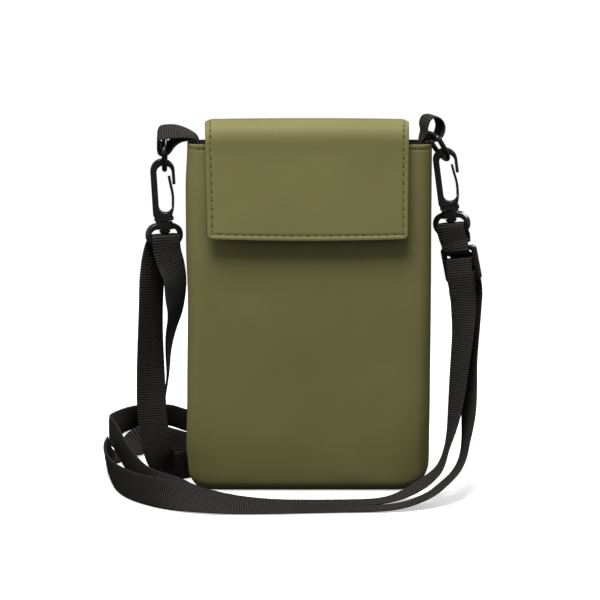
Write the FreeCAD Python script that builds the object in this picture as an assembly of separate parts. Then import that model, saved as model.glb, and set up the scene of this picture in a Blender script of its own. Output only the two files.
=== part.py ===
import FreeCAD, Part
import math
import os

V = FreeCAD.Vector
Rot = FreeCAD.Rotation
os.makedirs("parts", exist_ok=True)

# Phone pouch with a flap, two tabs, two snap hooks and one long adjustable strap.
# Millimetres. The origin is the middle of the base, +Z is up and the flap faces -Y.

# Pouch body
body_width = 119.0
body_depth = 20.0
body_height = 172.0
panel_thickness = 1.2
lining_thickness = 0.6
facing_height = 14.0
side_round_share = 0.3
base_round_share = 0.25
overrun = 5.0

# Flap, measured from the pouch that it hangs on
flap_width = 97.5
flap_shift = -0.7
flap_rise = 11.0
flap_drop = 56.6
flap_front_stand = 3.6
flap_back_stand = 2.0
flap_skin = 1.0
flap_lining = 0.5
flap_corner = 3.0
flap_strip_length = 16.2
bend_gap = 0.4
magnet_radius = 7.0
magnet_rise = 10.6
flap_magnet_thickness = 1.0
pouch_magnet_thickness = 0.6

# Webbing of the strap and play round it
web_width = 14.5
web_thickness = 1.2
web_play = 0.25
tab_gap = 0.95

# D-rings in the tabs
ring_wire = 2.5
ring_play = 0.75
ring_drop = 14.4
ring_top_round = 2.5
ring_bow_round = 9.0
left_roll = 22.0
right_yaw = 17.0
right_tilt = -31.0

# Places and routes are drawn in one unit round a pouch of the drawn size
drawn_unit = 1.0
drawn_width = 119.0
drawn_depth = 20.0
drawn_height = 172.0
rigid_reach = 50.0
rigid_floor = 15.0
rigid_height = 98.0
rigid_near = 20.0
rigid_far = 36.0
strap_foot_height = 2.0
strap_rise_height = 8.8
left_bar_drawn = (-70.6, 0.0, 172.45)
right_bar_drawn = (59.55, 0.0, 175.85)
left_hook_drawn = (-70.5, 1.42, 158.95)
right_hook_drawn = (67.4, 1.75, 164.4)
slider_drawn = (74.4, 0.3, 112.0)
gate_drawn = [
    (2.7, 0.0, -18.9),
    (3.1, 0.0, -15.6),
    (2.9, 0.0, -11.6),
    (2.15, 0.0, -7.6),
    (1.75, 0.0, -4.0),
]

# Snap hooks, measured from the ring wire inside the hook
left_hook_tilt = -3.5
right_hook_tilt = -7.5
hook_left = -7.2
hook_right = 4.7
hook_crown = 4.7
hook_foot = -24.0
hook_depth = 4.5
hook_round = 5.9
hook_foot_round = 1.5
window_left = -4.2
window_right = 3.25
window_top = 1.5
window_foot = -21.7
window_round = 3.6
window_low_right = 2.3
window_low_round = 3.2
nose_tip = -8.0
gap_left = 1.2
stub_top = -19.4
stub_right = 3.4
foot_right = 2.0
edge_round = 0.5
swivel_x = -2.0
collar_width = 9.4
collar_depth = 6.4
collar_foot = -25.5
post_radius = 1.6
head_radius = 2.7
head_top = -30.55
head_foot = -31.85
gate_depth = 3.6
gate_half = 0.6

# Swivel eyes under the hooks
eye_side = 1.7
eye_top = -27.0
eye_foot = -38.6
eye_round = 5.7
eye_depth = 4.2
eye_window_top = -29.9
eye_bar_top = -34.0
eye_window_round = 0.8
eye_arch_round = 3.4
boss_half = 3.8
boss_depth = 6.0
boss_top = -26.1
post_clearance = 0.55
left_eye_yaw = 22.0
right_eye_yaw = -22.0

# Slider on the strap
slider_tilt = -10.8
slider_yaw = -30.0
slider_side = 2.0
slider_play = 0.35
slider_height = 17.4
slider_thickness = 3.0
slider_window_height = 5.0
slider_centre_bar = 3.0
slider_round = 2.0
slider_window_round = 0.8
slider_edge_round = 0.5

# Strap routes: a place on the middle line, then the direction across the webbing
inner_run = [
    (74.93, -3.1, 98.8, -0.85, 0.5, -0.16),
    (75.32, -3.15, 96.8, -0.85, 0.5, -0.12),
    (75.6, -3.4, 90.0, -0.82, 0.55, 0.0),
    (75.5, -4.0, 79.0, -0.72, 0.7, 0.0),
    (74.1, -5.0, 66.0, -0.62, 0.78, 0.0),
    (72.8, -6.5, 52.0, -0.55, 0.83, 0.0),
    (71.4, -8.0, 40.0, -0.42, 0.9, 0.0),
    (69.7, -10.5, 30.0, -0.22, 0.97, 0.0),
    (67.2, -14.0, 21.5, -0.03, 1.0, 0.0),
    (63.4, -20.0, 14.0, 0.0, 1.0, 0.1),
    (57.0, -26.5, 8.8, 0.0, 1.0, 0.15),
    (49.0, -32.5, 4.6, 0.0, 1.0, 0.1),
    (40.0, -37.0, 1.9, 0.0, 1.0, 0.0),
    (30.0, -39.2, 0.8, 0.0, 1.0, 0.0),
    (16.0, -39.9, 0.7, 0.0, 1.0, 0.0),
    (0.0, -40.4, 0.7, 0.0, 1.0, 0.0),
    (-16.0, -40.8, 0.8, 0.0, 1.0, 0.02),
    (-32.0, -41.2, 1.6, 0.0, 0.98, 0.12),
    (-45.0, -41.6, 3.0, 0.05, 0.93, 0.3),
    (-55.0, -42.2, 4.5, 0.05, 0.84, 0.5),
    (-64.0, -41.6, 6.5, 0.0, 0.6, 0.78),
    (-73.0, -35.0, 7.6, 0.0, 0.25, 0.97),
    (-80.0, -18.0, 7.6, 0.0, 0.0, 1.0),
    (-86.3, 12.0, 7.7, 0.0, 0.0, 1.0),
    (-92.4, 44.0, 9.0, 0.0, 0.0, 1.0),
    (-98.2, 74.0, 13.2, 0.0, 0.0, 1.0),
    (-102.6, 102.0, 10.6, 0.0, 0.0, 1.0),
    (-101.0, 128.0, 7.8, 0.0, -0.1, 1.0),
    (-95.0, 150.0, 7.3, 0.1, -0.35, 0.9),
    (-84.0, 168.0, 6.7, 0.1, -0.6, 0.8),
    (-72.0, 164.0, 6.9, 0.0, -0.62, 0.78),
    (-62.0, 142.0, 7.6, -0.2, -0.4, 0.9),
    (-50.0, 120.0, 7.5, 0.0, -0.1, 1.0),
    (-38.0, 98.0, 7.4, 0.0, 0.0, 1.0),
    (-29.0, 74.0, 7.4, 0.0, 0.0, 1.0),
    (-30.0, 52.0, 7.4, 0.0, 0.0, 1.0),
    (-42.0, 38.0, 7.4, 0.0, 0.0, 1.0),
    (-55.0, 30.0, 7.4, 0.0, 0.0, 1.0),
    (-63.6, 22.6, 7.4, 0.0, 0.0, 1.0),
    (-69.2, 13.6, 8.0, 0.3, 0.1, 0.95),
    (-73.2, 8.2, 12.4, 0.85, 0.1, 0.5),
    (-75.6, 6.4, 22.0, 0.98, 0.05, 0.2),
    (-77.6, 6.0, 36.0, 1.0, 0.03, 0.05),
    (-77.996, 6.304, 55.0, 0.95, 0.3, 0.0),
    (-78.122, 5.188, 75.0, 0.82, 0.55, 0.0),
    (-77.659, 4.259, 92.0, 0.78, 0.6, 0.0),
    (-77.24, 4.18, 103.48, 0.82, 0.55, 0.0),
    (-75.74, 4.28, 112.08, 0.9, 0.42, 0.0),
]
outer_run = [
    (78.55, 3.5, 99.5, -0.85, 0.5, -0.12),
    (78.8, 3.42, 97.4, -0.85, 0.5, -0.08),
    (78.2, 2.9, 90.0, -0.85, 0.5, 0.0),
    (78.0, 1.4, 78.0, -0.74, 0.66, 0.0),
    (78.0, -1.0, 64.0, -0.56, 0.83, 0.0),
    (78.4, -5.0, 50.0, -0.5, 0.87, 0.0),
    (78.2, -9.0, 38.0, -0.42, 0.9, 0.0),
    (77.2, -13.5, 28.0, -0.22, 0.97, 0.0),
    (75.4, -19.0, 20.0, -0.08, 1.0, 0.0),
    (72.0, -26.5, 14.6, 0.0, 1.0, 0.0),
    (66.8, -35.0, 10.4, 0.0, 1.0, 0.0),
    (59.4, -43.0, 5.8, 0.0, 1.0, 0.0),
    (50.0, -49.5, 2.7, 0.0, 1.0, -0.02),
    (40.0, -53.2, 1.1, 0.0, 1.0, 0.0),
    (28.0, -54.9, 0.7, 0.0, 1.0, 0.0),
    (14.0, -55.6, 0.7, 0.0, 1.0, 0.0),
    (0.0, -57.0, 0.7, 0.0, 1.0, 0.0),
    (-14.0, -58.8, 1.1, 0.0, 1.0, 0.05),
    (-28.0, -60.2, 1.8, 0.0, 0.98, 0.14),
    (-40.0, -60.4, 3.0, 0.0, 0.95, 0.32),
    (-52.0, -58.6, 4.9, 0.0, 0.82, 0.57),
    (-64.0, -54.2, 6.8, 0.0, 0.5, 0.86),
    (-76.0, -46.6, 7.5, 0.0, 0.15, 0.99),
    (-87.0, -32.0, 7.5, 0.0, 0.0, 1.0),
    (-95.0, -10.0, 7.5, -0.08, 0.0, 1.0),
    (-99.4, 16.0, 7.5, -0.2, 0.0, 0.98),
    (-101.0, 38.0, 7.6, -0.24, 0.0, 0.97),
    (-99.6, 58.0, 6.0, -0.66, 0.2, 0.72),
    (-96.8, 75.0, 1.2, -0.98, 0.2, 0.0),
    (-92.4, 88.0, 1.2, -0.94, 0.34, 0.0),
    (-86.0, 95.0, 7.4, -0.3, 0.4, 0.86),
    (-77.0, 94.0, 7.7, 0.0, 0.0, 1.0),
    (-68.0, 82.0, 7.4, 0.0, 0.0, 1.0),
    (-58.0, 68.0, 7.4, 0.0, 0.0, 1.0),
    (-51.0, 58.0, 7.4, 0.0, 0.0, 1.0),
    (-50.5, 46.0, 7.4, 0.0, 0.0, 1.0),
    (-56.5, 37.0, 7.4, 0.0, 0.0, 1.0),
    (-63.6, 28.4, 7.4, 0.0, 0.0, 1.0),
    (-68.4, 22.4, 8.6, 0.1, 0.4, 0.9),
    (-72.0, 18.6, 14.0, 0.15, 0.85, 0.5),
    (-73.2, 17.4, 26.0, 0.1, 0.98, 0.1),
    (-72.0, 17.2, 40.0, 0.0, 1.0, 0.0),
    (-69.6, 16.3, 54.0, 0.0, 1.0, 0.0),
    (-69.155, 9.75, 66.0, 0.1, 0.99, 0.0),
    (-67.711, 3.7, 78.0, 0.3, 0.95, 0.0),
    (-65.2, -0.058, 88.0, 0.45, 0.88, 0.0),
    (-65.5, -1.72, 97.0, 0.68, 0.72, 0.0),
    (-65.44, -1.52, 105.48, 0.74, 0.67, 0.0),
    (-67.64, -1.12, 112.08, 0.9, 0.42, 0.0),
]
left_fold_run = [
    (-67.77, -1.1, 112.48, 0.9, 0.42, 0.0),
    (-69.34, -1.07, 117.38, 0.92, 0.38, 0.0),
    (-69.82, -1.29, 121.68, 0.93, 0.37, 0.0),
    (-69.85, -1.29, 123.68, 0.93, 0.37, 0.0),
    (-69.96, -1.01, 125.83, 0.93, 0.37, 0.0),
    (-70.94, 1.42, 126.23, 0.93, 0.37, 0.0),
    (-71.91, 3.83, 125.83, 0.93, 0.37, 0.0),
    (-72.03, 4.11, 123.68, 0.93, 0.37, 0.0),
    (-74.44, 4.28, 118.88, 0.92, 0.38, 0.0),
    (-75.66, 4.28, 112.48, 0.9, 0.42, 0.0),
]
right_end_run = [
    (72.1, 0.5, 121.65, 0.92, -0.37, 0.12),
    (72.1, 2.1, 123.35, 0.92, -0.37, 0.12),
    (71.7, 4.45, 125.45, 0.92, -0.37, 0.12),
    (71.1, 4.47, 129.25, 0.92, -0.37, 0.12),
    (70.75, 4.2, 131.4, 0.92, -0.37, 0.12),
    (69.7, 1.8, 131.8, 0.92, -0.37, 0.12),
    (68.75, -0.6, 131.2, 0.92, -0.37, 0.12),
    (68.9, -0.95, 129.4, 0.92, -0.37, 0.12),
    (69.75, -1.1, 126.05, 0.92, -0.37, 0.12),
    (70.95, -1.25, 122.65, 0.9, -0.4, 0.14),
]
right_upper_run = [
    (71.05, -1.5, 122.1, 0.89, -0.42, 0.14),
    (71.6, -2.08, 119.6, 0.86, -0.48, 0.16),
    (71.88, -2.05, 117.8, 0.85, -0.5, 0.16),
    (73.5, 0.3, 116.6, 0.85, -0.5, 0.16),
    (75.3, 3.1, 116.0, 0.85, -0.5, 0.16),
    (76.35, 3.85, 112.8, 0.85, -0.5, 0.16),
    (77.1, 3.75, 108.4, 0.85, -0.5, 0.16),
    (77.95, 3.6, 103.5, 0.85, -0.5, 0.14),
    (78.48, 3.5, 100.0, 0.85, -0.5, 0.12),
]
left_tab_run = [
    (-53.9, 0.0, 160.0, 0.0, 1.0, 0.0),
    (-53.9, 0.0, 168.0, 0.0, 1.0, 0.0),
    (-54.2, 0.0, 174.2, 0.0, 1.0, 0.02),
    (-59.5, -0.5, 176.6, 0.0, 0.98, 0.18),
    (-64.0, -1.6, 177.5, 0.0, 0.94, 0.33),
    (-69.5, -2.0, 177.4, 0.0, 0.927, 0.375),
    (-73.5, -1.8, 176.6, 0.0, 0.927, 0.375),
    (-73.7, -0.1, 172.4, 0.0, 0.927, 0.375),
    (-73.5, 1.5, 168.7, 0.0, 0.927, 0.375),
    (-70.3, 1.75, 168.2, 0.0, 0.927, 0.375),
    (-67.9, 1.2, 169.6, 0.0, 0.927, 0.375),
    (-65.8, 0.2, 172.9, 0.0, 0.94, 0.33),
    (-62.4, -0.2, 174.9, 0.0, 0.965, 0.25),
    (-58.8, 0.0, 174.4, 0.0, 0.99, 0.1),
    (-55.2, 0.0, 172.9, 0.0, 1.0, 0.0),
    (-55.3, 0.0, 168.0, 0.0, 1.0, 0.0),
    (-55.3, 0.0, 160.0, 0.0, 1.0, 0.0),
]
right_tab_run = [
    (53.8, 0.0, 160.0, 0.0, 1.0, 0.0),
    (53.8, 0.0, 168.0, 0.0, 1.0, 0.0),
    (53.9, 0.0, 173.2, -0.04, 1.0, 0.0),
    (55.6, -0.7, 177.0, -0.2, 0.98, 0.0),
    (55.7, -1.2, 181.4, -0.292, 0.956, 0.0),
    (57.4, -0.7, 184.9, -0.292, 0.956, 0.0),
    (61.8, 0.6, 184.6, -0.292, 0.956, 0.0),
    (64.2, 1.35, 180.8, -0.292, 0.956, 0.0),
    (63.6, 1.2, 176.3, -0.292, 0.956, 0.0),
    (61.1, 0.4, 173.25, -0.29, 0.957, 0.0),
    (57.8, -0.5, 173.15, -0.18, 0.984, 0.0),
    (55.0, 0.0, 172.6, 0.0, 1.0, 0.0),
    (55.2, 0.0, 168.0, 0.0, 1.0, 0.0),
    (55.2, 0.0, 160.0, 0.0, 1.0, 0.0),
]
# The sewn fold on the slider's middle bar: depth and height from the slider's centre
slider_fold_run = [
    (-2.5, -11.5),
    (-2.5, -8.0),
    (-2.1, -5.4),
    (0.6, -3.6),
    (2.35, -2.0),
    (2.35, 0.4),
    (1.95, 2.45),
    (0.0, 2.8),
    (-1.95, 2.45),
    (-2.35, 0.3),
    (-3.0, -3.0),
    (-3.9, -6.5),
    (-3.9, -12.5),
]
steps_per_span = 4
round_steps = 8

# Sizes that follow from the ones above
side_round = body_depth * side_round_share
base_round = body_depth * base_round_share
inner_inset = panel_thickness + lining_thickness
flap_top = body_height + flap_rise
flap_bottom = flap_top - flap_drop
flap_front = body_depth / 2 + flap_front_stand
flap_back = body_depth / 2 + flap_back_stand
magnet_height = flap_bottom + magnet_rise
tab_width = body_depth - 2 * inner_inset - 2 * tab_gap
ring_inner_width = tab_width + 2 * ring_play
eye_window_half = web_width / 2 + web_play
eye_half = eye_window_half + eye_side
slider_window_width = web_width + 2 * slider_play
slider_width = slider_window_width + 2 * slider_side


def tied(place):
    """A drawn place, moved with the side, the face and the mouth of the pouch that it goes with."""
    x, y, z = [value * drawn_unit for value in place[:3]]
    aside = max(-1.0, min(1.0, x / rigid_reach))
    away = max(0.0, min(1.0, (abs(y) - rigid_near) / (rigid_far - rigid_near)))
    above = max(0.0, min(1.0, (z - rigid_floor) / (rigid_height - rigid_floor)))
    x += aside * (body_width - drawn_width) / 2
    y += math.copysign(away, y) * (body_depth - drawn_depth) / 2
    z += above * (body_height - drawn_height)
    return V(x, y, z)


def drawn(place):
    """A drawn place in its own piece's frame."""
    return V(*place) * drawn_unit


left_bar = tied(left_bar_drawn)
right_bar = tied(right_bar_drawn)
left_hook_at = tied(left_hook_drawn)
right_hook_at = tied(right_hook_drawn)
slider_at = tied(slider_drawn)
gate_line = [drawn(place) for place in gate_drawn]


def export(shape, name):
    """Write one piece and say how large it is."""
    if not shape.isValid():
        print("not valid", name)
    shape.exportStep("parts/" + name + ".step")
    print(name, len(shape.Solids), round(shape.Volume, 1))


def moved(shape, placement):
    """A copy of the shape in a new place."""
    copy = shape.copy()
    copy.Placement = placement.multiply(copy.Placement)
    return copy


def centred_box(width, depth, foot, top):
    """A box about the Z axis between two heights."""
    return Part.makeBox(width, depth, top - foot, V(-width / 2, -depth / 2, foot))


def upright_edges(shape):
    """The straight edges along Z."""
    found = []
    for edge in shape.Edges:
        if abs(edge.tangentAt(edge.FirstParameter).z) > 0.9:
            found.append(edge)
    return found


def edges_along_depth(shape):
    """The straight edges along Y."""
    found = []
    for edge in shape.Edges:
        if abs(edge.tangentAt(edge.FirstParameter).y) > 0.9:
            found.append(edge)
    return found


def plate(left, right, foot, top, depth, corner):
    """An upright plate about Y = 0 with rounded corners."""
    box = Part.makeBox(right - left, depth, top - foot, V(left, -depth / 2, foot))
    return box.makeFillet(corner, edges_along_depth(box))


def spline(poles):
    """A smooth curve that starts and ends on its first and last pole."""
    curve = Part.BSplineCurve()
    spans = len(poles) - 2
    counts = [3] + [1] * (spans - 1) + [3]
    curve.buildFromPolesMultsKnots(poles, counts, list(range(spans + 1)), False, 2)
    return curve


def ribbon(run, places, width, first_span, last_span, steps):
    """Webbing along a route's places, between two of its spans."""
    middle = spline(places)
    across = spline([V(s[3], s[4], s[5]) for s in run])
    count = (last_span - first_span) * steps
    sections = []
    line = []
    for index in range(count + 1):
        at = first_span + (last_span - first_span) * index / count
        place = middle.value(at)
        along = V(*middle.tangent(at)[0])
        side = across.value(at)
        side = side - along * side.dot(along)
        side.normalize()
        flat = along.cross(side)
        out = side * (width / 2)
        up = flat * (web_thickness / 2)
        corners = [place + out + up, place - out + up, place - out - up, place + out - up]
        sections.append(Part.makePolygon(corners + corners[:1]))
        line.append(place)
    length = sum((b - a).Length for a, b in zip(line, line[1:]))
    spans = last_span - first_span
    bends = [middle.curvature(first_span + spans * index / count) for index in range(count)]
    solid = Part.makeLoft(sections, True, True)
    share = solid.Volume / (length * width * web_thickness)
    tightest = round(1 / max(bends), 2)
    print("webbing", round(length, 1), "volume share", round(share, 3), "smallest bend", tightest)
    return solid


# Pouch: two panels, two linings and the facing round the mouth
def pouch_block(inset, foot, top):
    """The pouch's outside drawn in by an inset, from the base up."""
    block = centred_box(body_width - 2 * inset, body_depth - 2 * inset, foot, top)
    block = block.makeFillet(side_round - inset, upright_edges(block))
    low = [edge for edge in block.Edges if edge.BoundBox.ZMax < foot + panel_thickness / 2]
    return block.makeFillet(base_round - inset, low)


front_half = Part.makeBox(
    body_width + 2 * overrun, body_depth, body_height + 2 * overrun,
    V(-body_width / 2 - overrun, -body_depth, -overrun))
back_half = Part.makeBox(
    body_width + 2 * overrun, body_depth, body_height + 2 * overrun,
    V(-body_width / 2 - overrun, 0, -overrun))
facing_foot = body_height - facing_height
outside = pouch_block(0, 0, body_height)
inside = pouch_block(panel_thickness, panel_thickness, body_height + overrun)
pocket = pouch_block(inner_inset, inner_inset, body_height + overrun)
shell = outside.cut(inside)
layer = inside.cut(pocket)
below = centred_box(body_width, body_depth, 0, facing_foot)
mouth = centred_box(body_width, body_depth, facing_foot, body_height)
export(shell.common(front_half), "front_panel")
export(shell.common(back_half), "back_panel")
export(layer.common(below).common(front_half), "front_lining")
export(layer.common(below).common(back_half), "back_lining")
export(layer.common(mouth).common(front_half), "front_facing")
export(layer.common(mouth).common(back_half), "back_facing")

# Flap: a strip sewn to the back, a crown over the mouth and a leaf in front
bend_radius = (flap_front + flap_back) / 2
bend_height = flap_top - bend_radius
flap_strip_bottom = bend_height - flap_strip_length
bend_middle = (flap_back - flap_front) / 2
flap_left = flap_shift - flap_width / 2
flap_right = flap_shift + flap_width / 2
back_face = body_depth / 2


def crown(outer_radius, inner_radius):
    """Half a tube over the mouth."""
    axis = V(1, 0, 0)
    start = V(flap_left, bend_middle, bend_height)
    tube = Part.makeCylinder(outer_radius, flap_width, start, axis)
    tube = tube.cut(Part.makeCylinder(inner_radius, flap_width, start, axis))
    upper = centred_box(body_width, body_depth * 2, bend_height, flap_top + overrun)
    return tube.common(upper)


def leaf(front, back):
    """The hanging sheet between two depths."""
    low = plate(flap_left, flap_right, flap_bottom, bend_height - bend_gap, back - front, flap_corner)
    low.translate(V(0, (front + back) / 2, 0))
    top_left = Part.makeBox(
        flap_width, back - front, flap_corner,
        V(flap_left, front, bend_height - bend_gap - flap_corner))
    return low.fuse(top_left).removeSplitter()


def disc(radius, thickness, front):
    """A flat round plate that faces forwards."""
    return Part.makeCylinder(radius, thickness, V(flap_shift, front, magnet_height), V(0, 1, 0))


strip = Part.makeBox(
    flap_width, flap_back - back_face, bend_height - bend_gap - flap_strip_bottom,
    V(flap_left, back_face, flap_strip_bottom))
leaf_inner = flap_skin + flap_lining - flap_front
export(strip, "flap_seam_strip")
export(crown(bend_radius, bend_radius - flap_skin), "flap_crown")
export(crown(bend_radius - flap_skin, bend_radius - flap_skin - flap_lining), "flap_crown_lining")
export(leaf(-flap_front, flap_skin - flap_front), "flap_leaf")
export(leaf(flap_skin - flap_front, leaf_inner), "flap_leaf_lining")
export(disc(magnet_radius, flap_magnet_thickness, leaf_inner), "flap_magnet")
export(disc(magnet_radius, pouch_magnet_thickness, -back_face - pouch_magnet_thickness), "pouch_magnet")


# D-rings
def ring():
    """A wire bent to a D, with its bar along Y through the origin."""
    half = (ring_inner_width + ring_wire) / 2
    turn = math.sqrt(0.5)
    high = ring_top_round
    low = ring_bow_round
    points = [
        V(0, -half + high, 0), V(0, half - high, 0),
        V(0, half - high + high * turn, -high + high * turn), V(0, half, -high),
        V(0, half, low - ring_drop), V(0, half - low + low * turn, low - ring_drop - low * turn),
        V(0, half - low, -ring_drop), V(0, low - half, -ring_drop),
        V(0, low - half - low * turn, low - ring_drop - low * turn), V(0, -half, low - ring_drop),
        V(0, -half, -high), V(0, high - half - high * turn, -high + high * turn),
    ]
    edges = [
        Part.makeLine(points[0], points[1]),
        Part.Arc(points[1], points[2], points[3]).toShape(),
        Part.makeLine(points[3], points[4]),
        Part.Arc(points[4], points[5], points[6]).toShape(),
        Part.makeLine(points[6], points[7]),
        Part.Arc(points[7], points[8], points[9]).toShape(),
        Part.makeLine(points[9], points[10]),
        Part.Arc(points[10], points[11], points[0]).toShape(),
    ]
    path = Part.Wire(edges)
    circle = Part.Wire([Part.makeCircle(ring_wire / 2, points[0], V(0, 1, 0))])
    return path.makePipeShell([circle], True, False)


left_ring_place = FreeCAD.Placement(left_bar, Rot(V(1, 0, 0), left_roll))
right_turn = Rot(V(0, 0, 1), right_yaw).multiply(Rot(V(0, 1, 0), right_tilt))
right_ring_place = FreeCAD.Placement(right_bar, right_turn)
export(moved(ring(), left_ring_place), "left_ring")
export(moved(ring(), right_ring_place), "right_ring")


# Snap hooks with a springy gate
def softened(shape, radius):
    """Round the long edges of a plate's two faces."""
    picked = []
    for edge in shape.Edges:
        box = edge.BoundBox
        if box.YLength < radius / 10 and edge.Length > 2 * radius:
            picked.append(edge)
    return shape.makeFillet(radius, picked)


def hook_body():
    """The bow, the nose, the collar and the headed post."""
    body = plate(hook_left, hook_right, hook_foot, hook_crown, hook_depth, hook_foot_round)
    tall = plate(hook_left, hook_right, hook_foot - overrun * 2, hook_crown, hook_depth, hook_round)
    body = body.common(tall)
    through = hook_depth * 2
    high = plate(window_left, window_right, stub_top, window_top, through, window_round)
    low = plate(window_left, window_low_right, window_foot, nose_tip, through, window_low_round)
    gap = Part.makeBox(
        hook_right - gap_left + overrun, through, nose_tip - stub_top, V(gap_left, -hook_depth, stub_top))
    corners = [
        V(stub_right, -hook_depth, stub_top),
        V(hook_right + overrun, -hook_depth, stub_top),
        V(hook_right + overrun, -hook_depth, hook_foot),
        V(foot_right, -hook_depth, hook_foot),
    ]
    slant = Part.Face(Part.makePolygon(corners + corners[:1])).extrude(V(0, through, 0))
    body = body.cut(high).cut(low).cut(gap).cut(slant)
    body = softened(body, edge_round)
    collar = centred_box(collar_width, collar_depth, collar_foot, hook_foot)
    collar = collar.makeFillet(hook_foot_round, upright_edges(collar))
    collar.translate(V(swivel_x, 0, 0))
    post = Part.makeCylinder(post_radius, collar_foot - head_top, V(swivel_x, 0, head_top))
    head = Part.makeCylinder(head_radius, head_top - head_foot, V(swivel_x, 0, head_foot))
    head = head.makeChamfer(edge_round, [e for e in head.Edges if e.BoundBox.ZMax < head_foot + edge_round / 2])
    return body.fuse([collar, post, head]).removeSplitter()


def gate_leaf():
    """The thin springy leaf that closes the hook."""
    aside = V(gate_half, 0, 0)
    near = V(0, -gate_depth / 2, 0)
    outer = [place + aside + near for place in gate_line]
    inner = [place - aside + near for place in gate_line]
    edges = [
        spline(outer).toShape(),
        Part.makeLine(outer[-1], inner[-1]),
        spline(inner[::-1]).toShape(),
        Part.makeLine(inner[0], outer[0]),
    ]
    face = Part.Face(Part.Wire(edges))
    return face.extrude(V(0, gate_depth, 0))


def swivel_eye(yaw):
    """The loop that the strap folds through, with the boss round the post."""
    loop = plate(-eye_half, eye_half, eye_foot, eye_top, eye_depth, eye_round)
    through = eye_depth * 2
    opening = plate(-eye_window_half, eye_window_half, eye_bar_top, eye_window_top, through, eye_window_round)
    arch = plate(-eye_window_half, eye_window_half, eye_foot, eye_window_top, through, eye_arch_round)
    loop = loop.cut(opening.common(arch))
    loop = softened(loop, edge_round)
    boss = centred_box(boss_half * 2, boss_depth, eye_window_top, boss_top)
    boss = boss.makeFillet(hook_foot_round, upright_edges(boss))
    eye = loop.fuse(boss).removeSplitter()
    hole = Part.makeCylinder(
        post_radius + post_clearance, boss_top - eye_window_top + 2 * overrun / 10,
        V(0, 0, eye_window_top - overrun / 10))
    eye = eye.cut(hole)
    return moved(eye, FreeCAD.Placement(V(0, 0, -collar_foot), Rot(V(0, 0, 1), yaw)))


swivel = V(swivel_x, 0, collar_foot)
left_hook_place = FreeCAD.Placement(left_hook_at, Rot(V(0, 1, 0), left_hook_tilt))
right_hook_place = FreeCAD.Placement(right_hook_at, Rot(V(0, 1, 0), right_hook_tilt))
left_eye_place = FreeCAD.Placement(left_hook_place.multVec(swivel), Rot())
right_eye_place = FreeCAD.Placement(right_hook_place.multVec(swivel), Rot(V(0, 1, 0), right_hook_tilt))
export(moved(hook_body(), left_hook_place), "left_hook_body")
export(moved(gate_leaf(), left_hook_place), "left_gate_leaf")
export(moved(swivel_eye(left_eye_yaw), left_eye_place), "left_eye")
export(moved(hook_body(), right_hook_place), "right_hook_body")
export(moved(gate_leaf(), right_hook_place), "right_gate_leaf")
export(moved(swivel_eye(right_eye_yaw), right_eye_place), "right_eye")

# Slider and the strap end sewn round its middle bar
slider_turn = Rot(V(0, 1, 0), slider_tilt).multiply(Rot(V(0, 0, 1), slider_yaw))
slider_place = FreeCAD.Placement(slider_at, slider_turn)
window_foot_z = slider_centre_bar / 2
window_top_z = window_foot_z + slider_window_height
half_window = slider_window_width / 2
frame = plate(
    -slider_width / 2, slider_width / 2, -slider_height / 2, slider_height / 2,
    slider_thickness, slider_round)
frame = frame.cut(plate(
    -half_window, half_window, window_foot_z, window_top_z, slider_thickness * 2, slider_window_round))
frame = frame.cut(plate(
    -half_window, half_window, -window_top_z, -window_foot_z, slider_thickness * 2, slider_window_round))
frame = softened(frame, slider_edge_round)
export(moved(frame, slider_place), "slider_frame")
fold_run = []
fold_places = []
for depth, height in slider_fold_run:
    fold_run.append((0.0, depth, height, 1.0, 0.0, 0.0))
    fold_places.append(drawn((0.0, depth, height)))
slider_fold = ribbon(fold_run, fold_places, web_width, 0, len(fold_run) - 2, round_steps)
export(moved(slider_fold, slider_place), "slider_fold")


# Tabs and strap
def whole(run, width):
    """Webbing along a whole route."""
    return ribbon(run, [tied(s) for s in run], width, 0, len(run) - 2, round_steps)


def part_of(run, first_span, last_span):
    """A stretch of one of the strap's two long runs."""
    return ribbon(run, [tied(s) for s in run], web_width, first_span, last_span, steps_per_span)


def foot_of(run):
    """The first station that lies on the floor."""
    return [s[2] * drawn_unit < strap_foot_height for s in run].index(True)


def rise_of(run):
    """The span where the run leaves the floor for the left hook."""
    low = [index for index, s in enumerate(run) if s[2] * drawn_unit < strap_rise_height]
    return low[-1] - 1


export(whole(left_tab_run, tab_width), "left_tab")
export(whole(right_tab_run, tab_width), "right_tab")
export(whole(left_fold_run, web_width), "left_strap_fold")
export(whole(right_end_run, web_width), "right_sewn_end")
export(whole(right_upper_run, web_width), "right_upper_strap")
inner_foot = foot_of(inner_run)
inner_rise = rise_of(inner_run)
outer_foot = foot_of(outer_run)
outer_rise = rise_of(outer_run)
export(part_of(inner_run, 0, inner_foot), "right_drop_inner")
export(part_of(inner_run, inner_foot, inner_rise), "floor_inner")
export(part_of(inner_run, inner_rise, len(inner_run) - 2), "left_drop_back")
export(part_of(outer_run, 0, outer_foot), "right_drop_outer")
export(part_of(outer_run, outer_foot, outer_rise), "floor_outer")
export(part_of(outer_run, outer_rise, len(outer_run) - 2), "left_drop_front")
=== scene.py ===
# %% [markdown]
# # A phone pouch on a long webbing strap
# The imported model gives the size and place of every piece. This lesson dresses it: the camera and
# the strap come first, then the sewn pouch, its flap and its trim, and at the end the finishes.

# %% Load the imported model
import math
import bmesh
import bpy
from mathutils import Matrix, Vector, noise


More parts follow.
